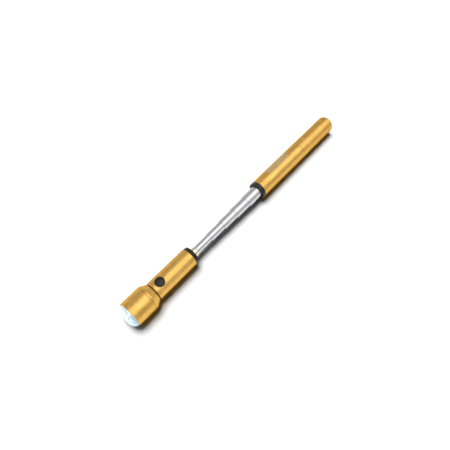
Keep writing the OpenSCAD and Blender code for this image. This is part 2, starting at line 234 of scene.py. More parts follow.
def effect(name, inputs, outputs):
    """An empty shader group with number inputs {name: default} and outputs [name]."""
    tree = bpy.data.node_groups.new(name, "ShaderNodeTree")
    for label, value in inputs.items():
        socket = tree.interface.new_socket(label, in_out="INPUT", socket_type="NodeSocketFloat")
        socket.default_value = value
    for label in outputs:
        tree.interface.new_socket(label, in_out="OUTPUT", socket_type="NodeSocketFloat")
    return tree, tree.nodes.new("NodeGroupInput").outputs, tree.nodes.new("NodeGroupOutput").inputs


# ------------------------------------------------------------------ effects shared by the finishes

def lathe_lines_effect():
    """Fine rings round the X axis, as a turning tool leaves them. Pitch is in lines per metre."""
    tree, given, out = effect("lathe lines", {"Pitch": 4000.0, "Waver": 0.3}, ["Height", "Tone"])
    along = put(tree, "ShaderNodeSeparateXYZ", {0: place(tree)}).outputs["X"]
    lines = put(tree, "ShaderNodeTexNoise", {"W": along, "Scale": given["Pitch"], "Detail": 2.0},
                noise_dimensions="1D").outputs["Fac"]
    slow = noise(tree, place(tree), 220.0)
    tree.links.new(calc(tree, "MULTIPLY_ADD", slow, given["Waver"], lines), out["Height"])
    tree.links.new(calc(tree, "MULTIPLY_ADD", calc(tree, "SUBTRACT", lines, 0.5), 0.4, slow), out["Tone"])
    return tree


def edge_wear_effect():
    """Rubbed patches on the outer corners, which the mesh marks in its edge attribute."""
    tree, given, out = effect("edge wear", {"Amount": 0.5, "Patches": 600.0}, ["Mask"])
    edge = put(tree, "ShaderNodeAttribute", attribute_name="edge").outputs["Fac"]
    patches = noise(tree, place(tree), given["Patches"], 4.0)
    bar = calc(tree, "SUBTRACT", 0.72, calc(tree, "MULTIPLY", given["Amount"], 0.5))
    rubbed = ramp(tree, patches, bar, calc(tree, "ADD", bar, 0.14))
    tree.links.new(calc(tree, "MULTIPLY", edge, rubbed), out["Mask"])
    return tree


def handling_effect():
    """Soft blotches that fingers leave."""
    tree, given, out = effect("handling", {"Size": 90.0, "Amount": 0.5}, ["Mask"])
    wide = noise(tree, place(tree), given["Size"], 3.0)
    fine_size = calc(tree, "MULTIPLY", given["Size"], 14.0)
    fine = noise(tree, place(tree, turn=(0.4, 0.2, 0.7)), fine_size, 2.0)
    blotch = ramp(tree, wide, 0.42, 0.68)
    broken = calc(tree, "MULTIPLY", blotch, calc(tree, "MULTIPLY_ADD", fine, 0.6, 0.5))
    tree.links.new(calc(tree, "MULTIPLY", broken, given["Amount"], clamp=True), out["Mask"])
    return tree


def hairlines_effect():
    """Sparse fine scratches along X, a little askew."""
    tree, given, out = effect("hairlines", {"Density": 0.5, "Width": 0.03}, ["Mask"])
    total = None
    for turn, squeeze in (((0.0, 0.05, 0.04), 2600), ((0.3, -0.07, -0.05), 1900)):
        drawn_out = place(tree, (70, squeeze, squeeze), turn)
        cells = put(tree, "ShaderNodeTexVoronoi", {"Vector": drawn_out, "Scale": 1.0},
                    feature="DISTANCE_TO_EDGE").outputs["Distance"]
        line = calc(tree, "LESS_THAN", cells, given["Width"])
        patches = noise(tree, place(tree, turn=turn), 300.0, 1.0)
        shown = calc(tree, "GREATER_THAN", calc(tree, "MULTIPLY", patches, given["Density"]), 0.3)
        here = calc(tree, "MULTIPLY", line, shown)
        total = here if total is None else calc(tree, "MAXIMUM", total, here)
    tree.links.new(total, out["Mask"])
    return tree


def moulded_grain_effect():
    """The fine pebbled grain of moulded plastic and rubber. Grain is in pebbles per metre."""
    tree, given, out = effect("moulded grain", {"Grain": 2500.0, "Wander": 0.5}, ["Height", "Tone"])
    pebbles = put(tree, "ShaderNodeTexVoronoi", {"Vector": place(tree), "Scale": given["Grain"]},
                  feature="SMOOTH_F1").outputs["Distance"]
    dust = noise(tree, place(tree), calc(tree, "MULTIPLY", given["Grain"], 0.4), 4.0)
    tree.links.new(calc(tree, "MULTIPLY_ADD", dust, given["Wander"], pebbles), out["Height"])
    tree.links.new(noise(tree, place(tree), 160.0, 4.0), out["Tone"])
    return tree


EFFECTS = {
    "lathe lines": lathe_lines_effect(),
    "edge wear": edge_wear_effect(),
    "handling": handling_effect(),
    "hairlines": hairlines_effect(),
    "moulded grain": moulded_grain_effect(),
}


def use(tree, name, **values):
    """Places a shared effect and returns its outputs."""
    node = put(tree, "ShaderNodeGroup")
    node.node_tree = EFFECTS[name]
    for key, value in values.items():
        node.inputs[key].default_value = value
    return node.outputs


# ------------------------------------------------------------------ finishes

def blank(name, **constants):
    """A material with its Principled shader; constants are that shader's plain values."""
    material = bpy.data.materials.new(name)
    material.use_nodes = True
    tree = material.node_tree
    shader = tree.nodes["Principled BSDF"]
    for key, value in constants.items():
        shader.inputs[key.replace("_", " ")].default_value = value
    return material, tree, shader


def feed(tree, shader, **sources):
    """Links outputs to the shader's sockets."""
    for key, value in sources.items():
        tree.links.new(value, shader.inputs[key.replace("_", " ")])


def bump(tree, height, depth):
    """A normal from a height between 0 and 1; depth is in millimetres."""
    inputs = {"Height": height, "Distance": depth * MM, "Strength": 1.0}
    return put(tree, "ShaderNodeBump", inputs).outputs[0]


def machined(name, tint, dark_tint, bare, rough, pitch=5200.0, depth=0.003, wear=0.5, marks=0.12,
             **constants):
    """Turned metal: lathe lines, finger marks, hairlines and rubbed corners that show the bare metal."""
    material, tree, shader = blank(name, Metallic=1.0, **constants)
    lines = use(tree, "lathe lines", Pitch=pitch, Waver=0.3)
    rubbed = use(tree, "edge wear", Amount=wear, Patches=700.0)["Mask"]
    touched = use(tree, "handling", Size=85.0, Amount=0.8)["Mask"]
    scratched = use(tree, "hairlines", Density=0.55, Width=0.02)["Mask"]
    skin = mixed(tree, ramp(tree, lines["Tone"], 0.3, 0.7), (*dark_tint, 1), (*tint, 1))
    worn = calc(tree, "MAXIMUM", rubbed, calc(tree, "MULTIPLY", scratched, 0.09))
    colour = mixed(tree, worn, skin, (*bare, 1))
    grain = calc(tree, "MULTIPLY_ADD", lines["Tone"], 0.08, rough - 0.04)
    roughness = calc(tree, "MULTIPLY_ADD", touched, marks, grain)
    feed(tree, shader, Base_Color=colour, Roughness=roughness, Normal=bump(tree, lines["Height"], depth))
    return material


def gold_anodised():
    """Warm gold anodising over aluminium, slightly satin."""
    return machined("gold_anodised", (0.89, 0.55, 0.15), (0.80, 0.46, 0.10), (0.90, 0.86, 0.78), 0.36,
                    pitch=3600.0, wear=0.25, Specular_Tint=(0.55, 0.42, 0.28, 1))


def pale_gold():
    """Paler champagne gold of the collar."""
    return machined("pale_gold", (0.93, 0.84, 0.62), (0.86, 0.76, 0.54), (0.93, 0.92, 0.88), 0.26,
                    pitch=4500.0, depth=0.002, wear=0.4)


def mast_chrome():
    """Bright chrome plating with the marks of sliding."""
    return machined("mast_chrome", (0.69, 0.69, 0.70), (0.67, 0.67, 0.68), (0.80, 0.79, 0.77), 0.27,
                    pitch=7000.0, depth=0.0002, wear=0.3, marks=0.03)


def magnet_nickel():
    """Nickel plating on the magnets."""
    return machined("magnet_nickel", (0.72, 0.70, 0.66), (0.60, 0.58, 0.55), (0.82, 0.80, 0.76), 0.24,
                    pitch=3000.0, depth=0.002)


def spring_steel():
    """Drawn steel wire and turned steel."""
    return machined("spring_steel", (0.58, 0.59, 0.61), (0.46, 0.47, 0.49), (0.72, 0.72, 0.72), 0.30)


def contact_brass():
    """Rolled brass of the contacts and the friction sleeves."""
    return machined("contact_brass", (0.80, 0.58, 0.24), (0.66, 0.44, 0.16), (0.90, 0.76, 0.46), 0.28)


def cell_steel():
    """Pressed nickelled steel of the button cells."""
    return machined("cell_steel", (0.70, 0.69, 0.66), (0.62, 0.61, 0.58), (0.80, 0.80, 0.78), 0.22,
                    pitch=1500.0, depth=0.001)


def bright_reflector():
    """Vacuum metallised cup of the lamp, with the faint orange peel of its lacquer and a painted bluish
    glow.
    """
    # Painted glow: a faint bluish emission stands in for the LED light bouncing round the cup.
    material, tree, shader = blank("bright_reflector", Metallic=1.0, Emission_Strength=0.22)
    shader.inputs["Emission Color"].default_value = (0.74, 0.87, 1.0, 1)
    peel = noise(tree, place(tree), 1400.0, 2.0)
    cloud = noise(tree, place(tree), 260.0, 3.0)
    colour = mixed(tree, cloud, (0.84, 0.87, 0.90, 1), (0.93, 0.95, 0.97, 1))
    rough = ramp(tree, cloud, 0.3, 0.7, 0.06, 0.14)
    feed(tree, shader, Base_Color=colour, Roughness=rough, Normal=bump(tree, peel, 0.01))
    return material


def moulded(name, tint, pale, rough, grain, depth):
    """Moulded plastic or rubber: pebbled grain, dust in its tone and paler rubbed corners."""
    material, tree, shader = blank(name, Metallic=0.0, Specular_IOR_Level=0.35)
    skin = use(tree, "moulded grain", Grain=grain, Wander=0.6)
    rubbed = use(tree, "edge wear", Amount=0.4, Patches=900.0)["Mask"]
    touched = use(tree, "handling", Size=120.0, Amount=0.8)["Mask"]
    dusted = mixed(tree, ramp(tree, skin["Tone"], 0.45, 0.75, 0.0, 0.5), (*tint, 1), (*pale, 1))
    colour = mixed(tree, calc(tree, "MULTIPLY", rubbed, 0.7), dusted, (*pale, 1))
    roughness = calc(tree, "MULTIPLY_ADD", touched, -0.18, rough)
    feed(tree, shader, Base_Color=colour, Roughness=roughness, Normal=bump(tree, skin["Height"], depth))
    return material


def black_plastic():
    """Hard black plastic of the mouth bush and the end plug."""
    return moulded("black_plastic", (0.008, 0.008, 0.007), (0.030, 0.028, 0.024), 0.42, 3200.0, 0.006)


def black_rubber():
    """Black rubber of the button and the seals."""
    return moulded("black_rubber", (0.005, 0.005, 0.003), (0.024, 0.023, 0.016), 0.30, 2400.0, 0.008)


def dark_moulding():
    """Dark grey plastic of the inner blocks and sleeves."""
    return moulded("dark_moulding", (0.035, 0.036, 0.038), (0.09, 0.09, 0.09), 0.48, 2800.0, 0.008)


def clear_lens():
    """Clear polycarbonate of the lens, with faint moulding flow in its surface, a painted glow and painted
    shade towards its edge.
    """
    # Painted glow: the lens gets a faint cyan emission of its own, standing in for the light of the LEDs
    # inside it.
    material, tree, shader = blank("clear_lens", Metallic=0.0, Transmission_Weight=0.86, IOR=1.5,
                                   Emission_Strength=0.13)
    shader.inputs["Emission Color"].default_value = (0.62, 0.90, 0.90, 1)
    flow = noise(tree, place(tree, turn=(0.2, 0.5, 0.1)), 180.0, 2.0)
    touched = use(tree, "handling", Size=150.0, Amount=0.7)["Mask"]
    spot = put(tree, "ShaderNodeSeparateXYZ", {0: place(tree)})
    reach = calc(tree, "SQRT", calc(tree, "MULTIPLY_ADD", spot.outputs["Y"], spot.outputs["Y"],
                                    calc(tree, "MULTIPLY", spot.outputs["Z"], spot.outputs["Z"])))
    clear = mixed(tree, flow, (0.84, 0.90, 0.99, 1), (0.90, 0.94, 1.0, 1))
    # Painted shade: the base colour turns to a darker greyish lavender towards the lens's outer edge.
    colour = mixed(tree, ramp(tree, reach, 0.0078, 0.0094), clear, (0.50, 0.54, 0.68, 1))
    rough = calc(tree, "MULTIPLY_ADD", touched, 0.05, 0.08)
    feed(tree, shader, Base_Color=colour, Roughness=rough, Normal=bump(tree, flow, 0.02))
    return material


def led_epoxy():
    """Water-clear epoxy of an LED, lit from inside."""
    material, tree, shader = blank("led_epoxy", Metallic=0.0, Transmission_Weight=0.7, IOR=1.5,
                                   Emission_Strength=0.9)
    shader.inputs["Emission Color"].default_value = (0.86, 0.94, 1.0, 1)
    cloud = noise(tree, place(tree), 900.0, 2.0)
    colour = mixed(tree, cloud, (0.90, 0.96, 1.0, 1), (0.98, 0.99, 1.0, 1))
    rough = ramp(tree, cloud, 0.3, 0.7, 0.05, 0.12)
    feed(tree, shader, Base_Color=colour, Roughness=rough)
    return material


def glowing_die():
    """Lit phosphor over an LED's die."""
    material, tree, shader = blank("glowing_die", Metallic=0.0, Roughness=0.5, Emission_Strength=9.0)
    grains = noise(tree, place(tree), 6000.0, 2.0)
    glow = mixed(tree, grains, (0.80, 0.92, 1.0, 1), (1.0, 0.98, 0.90, 1))
    phosphor = mixed(tree, grains, (0.9, 0.85, 0.5, 1), (0.95, 0.9, 0.6, 1))
    feed(tree, shader, Base_Color=phosphor, Emission_Color=glow)
    return material


def printed_ink():
    """Pale matt ink of the printed lines, thin where it wore."""
    material, tree, shader = blank("printed_ink", Metallic=0.0)
    worn = noise(tree, place(tree), 1600.0, 4.0)
    colour = mixed(tree, ramp(tree, worn, 0.4, 0.65), (0.25, 0.19, 0.11, 1), (0.20, 0.15, 0.08, 1))
    rough = ramp(tree, worn, 0.3, 0.7, 0.42, 0.58)
    feed(tree, shader, Base_Color=colour, Roughness=rough, Normal=bump(tree, worn, 0.004))
    return material


def circuit_board():
    """Green solder mask over copper tracks, with glass weave under it."""
    material, tree, shader = blank("circuit_board", Metallic=0.0, Coat_Weight=0.4)
    laid = place(tree, turn=(0, math.pi / 2, 0))
    tracks = put(tree, "ShaderNodeTexBrick", {
        "Vector": laid, "Scale": 160.0, "Mortar Size": 0.06, "Mortar Smooth": 0.1}).outputs["Fac"]
    weave = put(tree, "ShaderNodeTexChecker", {"Vector": place(tree), "Scale": 2400.0}).outputs["Fac"]
    faint = calc(tree, "MULTIPLY", weave, 0.3)
    mask = mixed(tree, faint, (0.010, 0.090, 0.035, 1), (0.016, 0.120, 0.050, 1))
    colour = mixed(tree, tracks, mask, (0.05, 0.22, 0.07, 1))
    rough = ramp(tree, noise(tree, place(tree), 500.0), 0.3, 0.7, 0.25, 0.38)
    feed(tree, shader, Base_Color=colour, Roughness=rough, Normal=bump(tree, tracks, 0.03))
    return material


GOLD, PALE_GOLD, CHROME = gold_anodised(), pale_gold(), mast_chrome()
PLASTIC, RUBBER, MOULDING = black_plastic(), black_rubber(), dark_moulding()
LENS, EPOXY, REFLECTOR = clear_lens(), led_epoxy(), bright_reflector()
GLOW, INK = glowing_die(), printed_ink()
NICKEL, STEEL, BRASS = magnet_nickel(), spring_steel(), contact_brass()
CELL, BOARD = cell_steel(), circuit_board()


# ------------------------------------------------------------------ handle

def tail_half():
    """Rear half of the handle, with its rounded tail and the pocket for the magnet."""
    start, joint, radius = span("tail_sleeve")
    spigot_back = span("handle_tube")[0]
    magnet_front, magnet_r = span("tail_magnet")[1:]
    tail_round, floor = 2.2, 5.8
    outline = [(start, magnet_r), *arc(tail_round, radius - tail_round, tail_round, 180, 90),
               (joint - JOINT_CHAMFER, radius), (joint, radius - JOINT_CHAMFER),
               (joint, HANDLE_SPIGOT + PRESS),
               (spigot_back, HANDLE_SPIGOT + PRESS), (spigot_back, HANDLE_BORE), (floor, HANDLE_BORE),
               (floor, 0), (magnet_front, 0), (magnet_front, magnet_r)]
    fitted(turned("tail_half", outline, GOLD), "handle", "gold_anodised", "tail_sleeve")


def front_half():
    """Front half of the handle, with the grooved spigot inside the rear half."""
    back, mouth, radius = span("handle_tube")
    joint = span("tail_sleeve")[1]
    groove_back, groove_front = span("handle_joint_seal")[:2]
    groove_depth = 0.4
    outline = [(back, HANDLE_BORE), (back, HANDLE_SPIGOT), (groove_back, HANDLE_SPIGOT),
               (groove_back, HANDLE_SPIGOT - groove_depth), (groove_front, HANDLE_SPIGOT - groove_depth),
               (groove_front, HANDLE_SPIGOT), (joint, HANDLE_SPIGOT), (joint, radius - JOINT_CHAMFER),
               (joint + JOINT_CHAMFER, radius), (mouth, radius), (mouth, HANDLE_BORE)]
    fitted(turned("front_half", outline, GOLD), "handle", "gold_anodised", "handle_tube")


def mouth_ring():
    """Black bush with a collar that closes the handle's mouth."""
    back, front, radius = span("mouth_bush")
    mouth = span("handle_tube")[1]
    bore, edge = 5.25, 0.4
    outline = [(back, bore), (back, HANDLE_BORE - PRESS), (mouth, HANDLE_BORE - PRESS), (mouth, radius),
               (front - edge, radius), (front, radius - edge), (front, bore)]
    fitted(turned("mouth_ring", outline, PLASTIC), "handle", "black_plastic", "mouth_bush")


def tail_magnet():
    """Round magnet in the tail, with eased edges."""
    back, front, radius = span("tail_magnet")
    outline = [(back, 0), (back, radius - PRESS), (front, radius - PRESS), (front, 0)]
    fitted(turned("tail_magnet_disc", outline, NICKEL, ease=0.35), "handle", "magnet_nickel", "tail_magnet")


# ------------------------------------------------------------------ mast

def mast_section(number):
    """One tube of the mast, with its foot behind and the lip rolled in over the next one."""
    back, front, foot = span(f"mast_tube_{number}")
    radius = 5.7 - number * 0.5
    bore = radius - MAST_WALL
    lip = bore if number == 5 else radius - 0.5 + FIT
    flange, sleeve_end, foot_end, lip_len, roll = 1.0, 7.4, 8.2, 1.5, 0.12
    outline = [(back, bore), (back, foot), (back + flange, foot), (back + flange, radius),
               (back + sleeve_end, radius), (back + sleeve_end, foot), (back + foot_end, foot),
               (back + foot_end, radius), *arc(front - roll, radius - roll, roll, 90, 0, 6),
               (front, lip), (front - lip_len, lip), (front - lip_len, bore)]
    if number == 5:
        outline = outline[:-2]
    piece = turned(f"mast_section_{number}", outline, CHROME, ease=0.08)
    fitted(piece, f"mast_{number}", "mast_chrome", f"mast_tube_{number}")


# ------------------------------------------------------------------ light

def collar():
    """Pale collar on the swivel."""
    back, front, radius = span("neck_collar")
    edge = 0.5
    outline = [(back, STUD + FIT), (back, radius - edge), (back + edge, radius), (front, radius),
               (front, STUD + FIT)]
    fitted(turned("swivel_collar", outline, PALE_GOLD, ease=0.2), "light", "pale_gold", "neck_collar")


def end_plug():
    """Black plug that closes the barrel and holds the swivel."""
    back, front = span("barrel_plug")[:2]
    ring_back = span("rear_ring")[0]
    flange, pocket, floor = 6.9, 3.4, back + 2.4
    outline = [(back, STUD + FIT), (back, flange), (ring_back, flange), (ring_back, BARREL_BORE - PRESS),
               (front, BARREL_BORE - PRESS), (front, pocket), (floor, pocket), (floor, STUD + FIT)]
    fitted(turned("end_plug", outline, PLASTIC), "light", "black_plastic", "barrel_plug")


def bumper_ring():
    """Soft ring with a rounded back between the plug's flange and the barrel."""
    back, front, radius = span("rear_ring")
    third = (front - back) / 3
    outline = [(back, BARREL_BORE), (back, radius - third), (back + third, radius), (front - third, radius),
               (front, radius - third), (front, BARREL_BORE)]
    fitted(turned("bumper_ring", outline, RUBBER, ease=0.35), "light", "black_rubber", "rear_ring")


def barrel_outline():
    """Half section of the barrel: chamfered skin and the spigot that takes the head."""
    back, spigot_front, radius = span("barrel")
    neck = span("switch_contact")[1]
    return [(back, BARREL_BORE), (back, radius - TRIM_EDGE), (back + TRIM_EDGE, radius),
            (neck - TRIM_EDGE, radius), (neck, radius - TRIM_EDGE), (neck, BARREL_SPIGOT),
            (spigot_front, BARREL_SPIGOT), (spigot_front, BARREL_BORE)]


def light_barrel():
    """Gold barrel with the round hole for the button cut through its wall."""
    outline = []
    corners = eased(barrel_outline(), 0.12)
    ring_every = 0.5
    for here, after in zip(corners, corners[1:] + corners[:1]):
        cuts = max(1, round(abs(after[0] - here[0]) / ring_every))
        outline += [tuple(h + (a - h) * k / cuts for h, a in zip(here, after)) for k in range(cuts)]
    barrel = finish_mesh("light_barrel", spun(outline), GOLD)
    centre = sum(span("button_cap")[:2]) / 2
    above = 12
    hole = [(0, 0, 0), (0, BUTTON_HOLE, 0), (above, BUTTON_HOLE, 0), (above, 0, 0)]
    cutter = finish_mesh("button_hole", spun(hole, upright_at=centre, faces=96), GOLD)
    cut_away(barrel, cutter)
    round_shading(barrel.data, span("barrel")[2] * MM)
    fitted(barrel, "light", "gold_anodised", "barrel")


def round_shading(mesh, radius):
    """Keeps the barrel's skin shaded as a true cylinder up to the edge of the hole."""
    normals = [Vector(n.vector) for n in mesh.corner_normals]
    for face in mesh.polygons:
        out = Vector((0, face.center.y, face.center.z))
        on_skin = all(abs(Vector(mesh.vertices[v].co.yz).length - radius) < 2e-5 for v in face.vertices)
        if on_skin and face.normal.dot(out.normalized()) > 0.9:
            for corner in face.loop_indices:
                spot = mesh.vertices[mesh.loops[corner].vertex_index].co
                normals[corner] = Vector((0, spot.y, spot.z)).normalized()
    mesh.normals_split_custom_set(normals)


def button_bezel():
    """Ring pressed into the barrel around the button."""
    low, high = levels("button_ring")
    x0, x1 = span("button_ring")[:2]
    outer, inner = (x1 - x0) / 2, 3.3
    outline = [(low, inner), (high, inner), (high, outer), (low, outer)]
    piece = turned("button_bezel", outline, PLASTIC, ease=0.18, upright_at=(x0 + x1) / 2)
    fitted(piece, "light", "black_plastic", "button_ring")


def button():
    """Domed rubber button with its flange underneath."""
    low, high = levels("button_cap")
    x0, x1 = span("button_cap")[:2]
    flange, stem, flange_len, edge = (x1 - x0) / 2, 3.2, 0.6, 7.3
    rise = high - edge
    dome = (stem ** 2 + rise ** 2) / (2 * rise)
    start = math.degrees(math.acos(stem / dome))
    crest = [(high - dome + s, r) for r, s in arc(0, 0, dome, start, 90, 16)]
    crest[-1] = (high, 0)
    outline = [(low, 0), (low, flange), (low + flange_len, flange), (low + flange_len, stem), *crest]
    piece = turned("rubber_button", outline, RUBBER, ease=0.15, upright_at=(x0 + x1) / 2)
    fitted(piece, "button", "black_rubber", "button_cap")


def neck_seal():
    """Seal with a round section in the gap at the neck."""
    back, front, radius = span("neck_oring")
    bore = BARREL_SPIGOT + PRESS
    outline = [(back, bore), (back, radius), (front, radius), (front, bore)]
    fitted(turned("neck_seal", outline, RUBBER, ease=0.25), "light", "black_rubber", "neck_oring")


# ------------------------------------------------------------------ head

def bell():
    """Gold head: cone, groove and straight bell, with the chamber for the lamp."""
    back, rim, radius = span("head_shell")
    body = span("barrel")[2]
    cone_front = back + 4.6
    chamber_back = cone_front + 0.1
    groove, depth = cone_front + 1, 0.35
    outline = [(back, HEAD_BORE), (back, body - TRIM_EDGE), (back + TRIM_EDGE, body), (cone_front, radius),
               (groove, radius), (groove + depth, radius - depth), (groove + 2 * depth, radius),
               (rim - TRIM_EDGE, radius), (rim, radius - TRIM_EDGE), (rim, CHAMBER),
               (chamber_back, CHAMBER), (chamber_back, HEAD_BORE)]
    fitted(turned("bell", outline, GOLD), "head", "gold_anodised", "head_shell")


def lens():
    """Clear lens: a skirt inside the bell and a hollow dome with a flat spot at its crest."""
    back, tip, edge = span("lens")
    rim = span("head_shell")[1]
    skirt, hollow, wall, spot = 9.1, 7.9, 1.2, 2.6
    rise = tip - rim

    def dome(radius, height, steps=28):
        turns = [math.pi / 2 * k / steps for k in range(steps + 1)]
        return [(rim + height * math.sin(a), spot + (radius - spot) * math.cos(a)) for a in turns]

    outline = [(back, hollow), (back, skirt), (rim, skirt), *dome(edge, rise), (tip, 0), (tip - wall, 0),
               *reversed(dome(hollow, rise - wall))]
    fitted(turned("dome_lens", outline, LENS, ease=0.1), "head", "clear_lens", "lens")


# ------------------------------------------------------------------ geometry node helpers

def node_tool(name, inputs):
    """An empty Geometry Nodes tree with named inputs {name: (socket type, default)}."""
    tree = bpy.data.node_groups.new(name, "GeometryNodeTree")
    tree.interface.new_socket("Geometry", in_out="INPUT", socket_type="NodeSocketGeometry")
    for label, (kind, value) in inputs.items():
        socket = tree.interface.new_socket(label, in_out="INPUT", socket_type=kind)
        if value is not None:
            socket.default_value = value
    tree.interface.new_socket("Geometry", in_out="OUTPUT", socket_type="NodeSocketGeometry")
    return tree, tree.nodes.new("NodeGroupInput").outputs


def close_tool(tree, geometry, material):
    """Ends a tree in real geometry with its material."""
    real = put(tree, "GeometryNodeRealizeInstances", {"Geometry": geometry}).outputs[0]
    painted = put(tree, "GeometryNodeSetMaterial", {"Geometry": real, "Material": material}).outputs[0]
    tree.links.new(painted, tree.nodes.new("NodeGroupOutput").inputs[0])
    return tree


def wound_wire_tool():
    """A wire wound into a straight or conical coil round X."""
    tree, given = node_tool("wound wire", {
        "Turns": ("NodeSocketFloat", 3.0), "Start": ("NodeSocketFloat", 0.0),
        "Run": ("NodeSocketFloat", 0.01),
        "First Radius": ("NodeSocketFloat", 0.004), "Last Radius": ("NodeSocketFloat", 0.004),
        "Wire Radius": ("NodeSocketFloat", 0.0003), "Material": ("NodeSocketMaterial", None)})
    coil = put(tree, "GeometryNodeCurveSpiral", {
        "Resolution": 64, "Rotations": given["Turns"], "Start Radius": given["First Radius"],
        "End Radius": given["Last Radius"], "Height": given["Run"]}).outputs[0]
    shift = put(tree, "ShaderNodeCombineXYZ", {"X": given["Start"]}).outputs[0]
    laid = put(tree, "GeometryNodeTransform", {
        "Geometry": coil, "Translation": shift, "Rotation": (0, math.pi / 2, 0)}).outputs[0]
    section = put(tree, "GeometryNodeCurvePrimitiveCircle", {
        "Resolution": 10, "Radius": given["Wire Radius"]})
    wire = put(tree, "GeometryNodeCurveToMesh", {
        "Curve": laid, "Profile Curve": section.outputs[0], "Fill Caps": True}).outputs[0]
    return close_tool(tree, wire, given["Material"])


def ring_of_copies_tool():
    """Copies of the input mesh spaced round X; the input stands on the axis and is moved out first."""
    tree, given = node_tool("ring of copies", {
        "Count": ("NodeSocketInt", 3), "Ring Radius": ("NodeSocketFloat", 0.005),
        "First Angle": ("NodeSocketFloat", 0.0), "Material": ("NodeSocketMaterial", None)})
    out = put(tree, "ShaderNodeCombineXYZ", {"Y": given["Ring Radius"]}).outputs[0]
    moved = put(tree, "GeometryNodeTransform", {
        "Geometry": given["Geometry"], "Translation": out}).outputs[0]
    spots = put(tree, "GeometryNodeMeshLine", {"Count": given["Count"], "Offset": (0, 0, 0)}).outputs[0]
    number = put(tree, "GeometryNodeInputIndex").outputs[0]
    step = calc(tree, "DIVIDE", math.tau, given["Count"])
    angle = calc(tree, "MULTIPLY_ADD", number, step, given["First Angle"])
    turn = put(tree, "ShaderNodeCombineXYZ", {"X": angle}).outputs[0]
    copies = put(tree, "GeometryNodeInstanceOnPoints", {
        "Points": spots, "Instance": moved, "Rotation": turn}).outputs[0]
    return close_tool(tree, copies, given["Material"])


def printed_lines_tool():
    """Thin lines of ink across a cylinder round X, one after another along it."""
    tree, given = node_tool("printed lines", {
        "Count": ("NodeSocketInt", 20), "First": ("NodeSocketFloat", 0.0),
        "Pitch": ("NodeSocketFloat", 0.001),
        "Radius": ("NodeSocketFloat", 0.0075), "Middle": ("NodeSocketFloat", 0.0),
        "Spread": ("NodeSocketFloat", 1.0), "Width": ("NodeSocketFloat", 0.0005),
        "Ink": ("NodeSocketFloat", 0.00002), "Material": ("NodeSocketMaterial", None)})
    start = calc(tree, "MULTIPLY_ADD", given["Spread"], -0.5, given["Middle"])
    bow = put(tree, "GeometryNodeCurveArc", {
        "Resolution": 24, "Radius": given["Radius"], "Start Angle": start, "Sweep Angle": given["Spread"]})
    upright = put(tree, "GeometryNodeTransform", {
        "Geometry": bow.outputs[0], "Rotation": (math.pi / 2, 0, math.pi / 2)}).outputs[0]
    section = put(tree, "GeometryNodeCurvePrimitiveQuadrilateral", {
        "Width": given["Width"], "Height": given["Ink"]})
    line = put(tree, "GeometryNodeCurveToMesh", {
        "Curve": upright, "Profile Curve": section.outputs[0], "Fill Caps": True}).outputs[0]
    first = put(tree, "ShaderNodeCombineXYZ", {"X": given["First"]}).outputs[0]
    step = put(tree, "ShaderNodeCombineXYZ", {"X": given["Pitch"]}).outputs[0]
    row = put(tree, "GeometryNodeMeshLine", {
        "Count": given["Count"], "Start Location": first, "Offset": step}).outputs[0]
    lines = put(tree, "GeometryNodeInstanceOnPoints", {"Points": row, "Instance": line}).outputs[0]
    return close_tool(tree, lines, given["Material"])


def grown(name, tool, base=None, **values):
    """A plain mesh object from a Geometry Nodes tree; values are the tree's named inputs, in metres."""
    start = base or bpy.data.objects.new(name, bpy.data.meshes.new(name))
    if base is None:
        bpy.context.scene.collection.objects.link(start)
    step = start.modifiers.new("grow", "NODES")
    step.node_group = tool
    sockets = {s.name: s.identifier for s in tool.interface.items_tree if s.in_out == "INPUT"}
    for key, value in values.items():
        step[sockets[key.replace("_", " ")]] = value
    mesh = bpy.data.meshes.new_from_object(start.evaluated_get(bpy.context.evaluated_depsgraph_get()))
    start.modifiers.clear()
    start.data = mesh
    start.name = mesh.name = name
    bm = bmesh.new()
    bm.from_mesh(mesh)
    dress(bm, 1e-7)
    bm.to_mesh(mesh)
    bm.free()
    return start


WOUND_WIRE = wound_wire_tool()
RING_OF_COPIES = ring_of_copies_tool()
PRINTED_LINES = printed_lines_tool()


# ------------------------------------------------------------------ repeated pieces

def spigot_thread():
    """Rolled thread on the barrel's spigot, seen once the head is unscrewed."""
    neck, spigot_front = span("neck_oring")[1], span("barrel")[1]
    wire, lead, runout = 0.26, 1.0, 0.1
    start = neck + wire + runout
    run = spigot_front - wire - runout - start
    thread = grown("spigot_thread", WOUND_WIRE, Turns=run / lead, Start=start * MM, Run=run * MM,
                   First_Radius=(BARREL_SPIGOT + PRESS) * MM, Last_Radius=(BARREL_SPIGOT + PRESS) * MM,
                   Wire_Radius=wire * MM, Material=GOLD)
    fitted(thread, "light", "gold_anodised")


def cell_spring():
    """Conical spring behind the cells."""
    back, front, radius = span("battery_spring")
    wire, small_end = 0.25, 2.2
    spring = grown("cell_spring", WOUND_WIRE, Turns=3.0, Start=(back + wire) * MM,
                   Run=(front - back - 2 * wire) * MM, First_Radius=(radius - wire) * MM,
                   Last_Radius=small_end * MM, Wire_Radius=wire * MM, Material=STEEL)
    fitted(spring, "light", "spring_steel", "battery_spring")


def led_ring():
    """Where the three LEDs stand, as inputs for the ring of copies."""
    return {"Count": 3, "Ring_Radius": sum(levels("led_1")) / 2 * MM, "First_Angle": math.pi / 2}


